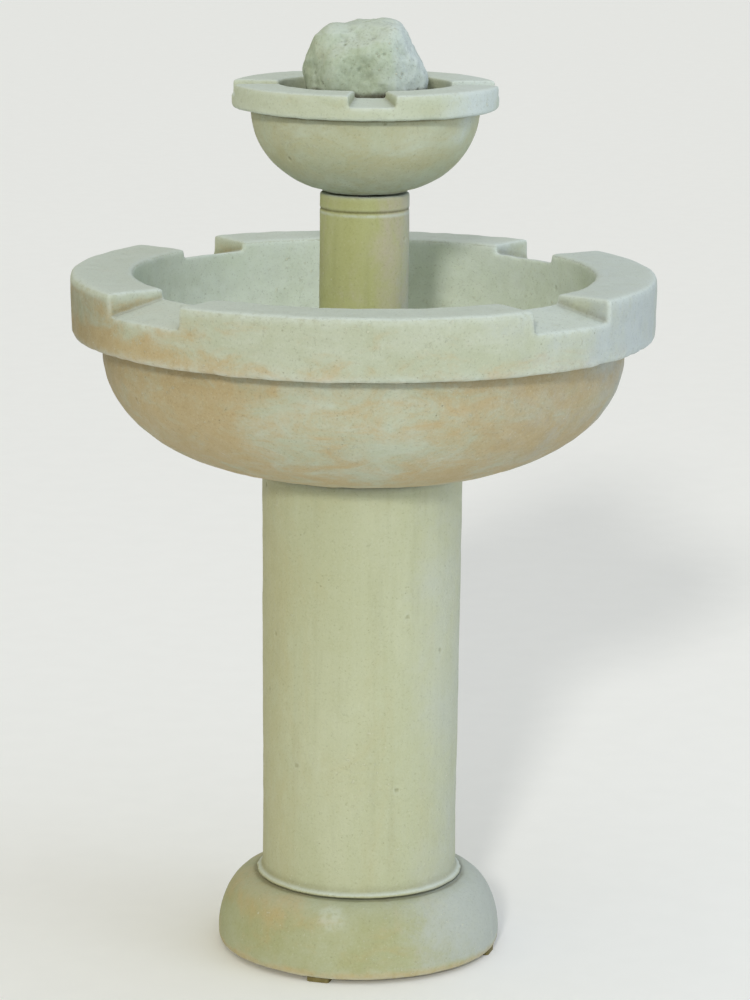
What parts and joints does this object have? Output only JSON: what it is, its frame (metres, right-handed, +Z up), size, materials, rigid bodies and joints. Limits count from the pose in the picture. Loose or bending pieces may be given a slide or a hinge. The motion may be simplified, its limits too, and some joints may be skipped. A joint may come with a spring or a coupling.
{
  "type": "two-tier cast-stone pedestal fountain",
  "caption": "Two-tier garden fountain: notched wide basin on a round pedestal, riser with a small notched bowl, drilled boulder on top, pump inside.",
  "frame": {"origin": "on the ground, on the axis of the column", "axes": "+Z up along the column, -Y towards the front, +X to the right"},
  "size_m": [0.7616, 0.7616, 1.235],
  "materials": {
    "cast_stone": "pale sage cast stone, matt, with ochre stain",
    "boulder_stone": "rough pitted pale green stone",
    "rubber_black": "matt black rubber",
    "pvc": "off-white pipe",
    "pump_black": "black moulded plastic",
    "dial_grey": "grey moulded plastic",
    "ferrite": "dark sintered magnet",
    "ceramic_white": "polished white ceramic",
    "vinyl": "clear vinyl hose",
    "stainless": "stainless strip",
    "copper": "dull copper pipe"
  },
  "bodies": {
    "stand": {"base": "cast_stone", "levelling_pad_1": "rubber_black", "levelling_pad_2": "rubber_black", "levelling_pad_3": "rubber_black", "levelling_pad_4": "rubber_black", "column_pad_1": "rubber_black", "column_pad_2": "rubber_black", "column_pad_3": "rubber_black", "column": "cast_stone", "basin_pad_1": "rubber_black", "basin_pad_2": "rubber_black", "basin_pad_3": "rubber_black", "basin": "cast_stone", "hub_sleeve": "pvc", "riser_pad_1": "rubber_black", "riser_pad_2": "rubber_black", "riser_pad_3": "rubber_black", "suction_cup_1": "rubber_black", "suction_cup_2": "rubber_black", "suction_cup_3": "rubber_black", "suction_cup_4": "rubber_black", "pump_motor": "pump_black", "pump_volute": "pump_black", "intake_plate": "pump_black", "impeller_shaft": "ceramic_white", "rear_bushing": "rubber_black", "front_bushing": "rubber_black", "cable_gland": "rubber_black", "outlet_hose": "vinyl", "hose_clamp_lower": "stainless", "hose_clamp_upper": "stainless", "clamp_screw_lower": "stainless", "clamp_screw_upper": "stainless", "copper_pipe": "copper"},
    "riser": {"riser": "cast_stone", "bowl_pad_1": "rubber_black", "bowl_pad_2": "rubber_black", "bowl_pad_3": "rubber_black"},
    "upper_bowl": {"upper_bowl": "cast_stone", "bowl_stopper": "rubber_black"},
    "boulder": {"bubbler_rock": "boulder_stone"},
    "drain_stopper": {"drain_stopper": "rubber_black"},
    "impeller": {"impeller": "dial_grey", "rotor_magnet": "ferrite"},
    "intake_cover": {"intake_cover": "pump_black"},
    "flow_dial": {"flow_dial": "dial_grey"}
  },
  "joints": [
    {"name": "riser_lift", "type": "slide", "parent": "stand", "child": "riser", "axis": [0, 0, 1], "range_m": [0, 0.3]},
    {"name": "bowl_lift", "type": "slide", "parent": "riser", "child": "upper_bowl", "axis": [0, 0, 1], "range_m": [0, 0.25]},
    {"name": "boulder_lift", "type": "slide", "parent": "upper_bowl", "child": "boulder", "axis": [0, 0, 1], "range_m": [0, 0.18]},
    {"name": "drain_pull", "type": "slide", "parent": "stand", "child": "drain_stopper", "axis": [0, 0, 1], "range_m": [0, 0.06]},
    {"name": "impeller_spin", "type": "hinge", "parent": "stand", "child": "impeller", "pos_m": [0, 0, 0.738], "axis": [0, 1, 0], "continuous": true},
    {"name": "cover_pull", "type": "slide", "parent": "stand", "child": "intake_cover", "axis": [0, 1, 0], "range_m": [0, 0.045]},
    {"name": "dial_turn", "type": "hinge", "parent": "intake_cover", "child": "flow_dial", "pos_m": [0, 0.035, 0.738], "axis": [0, 1, 0], "range_deg": [0, 90]}
  ]
}
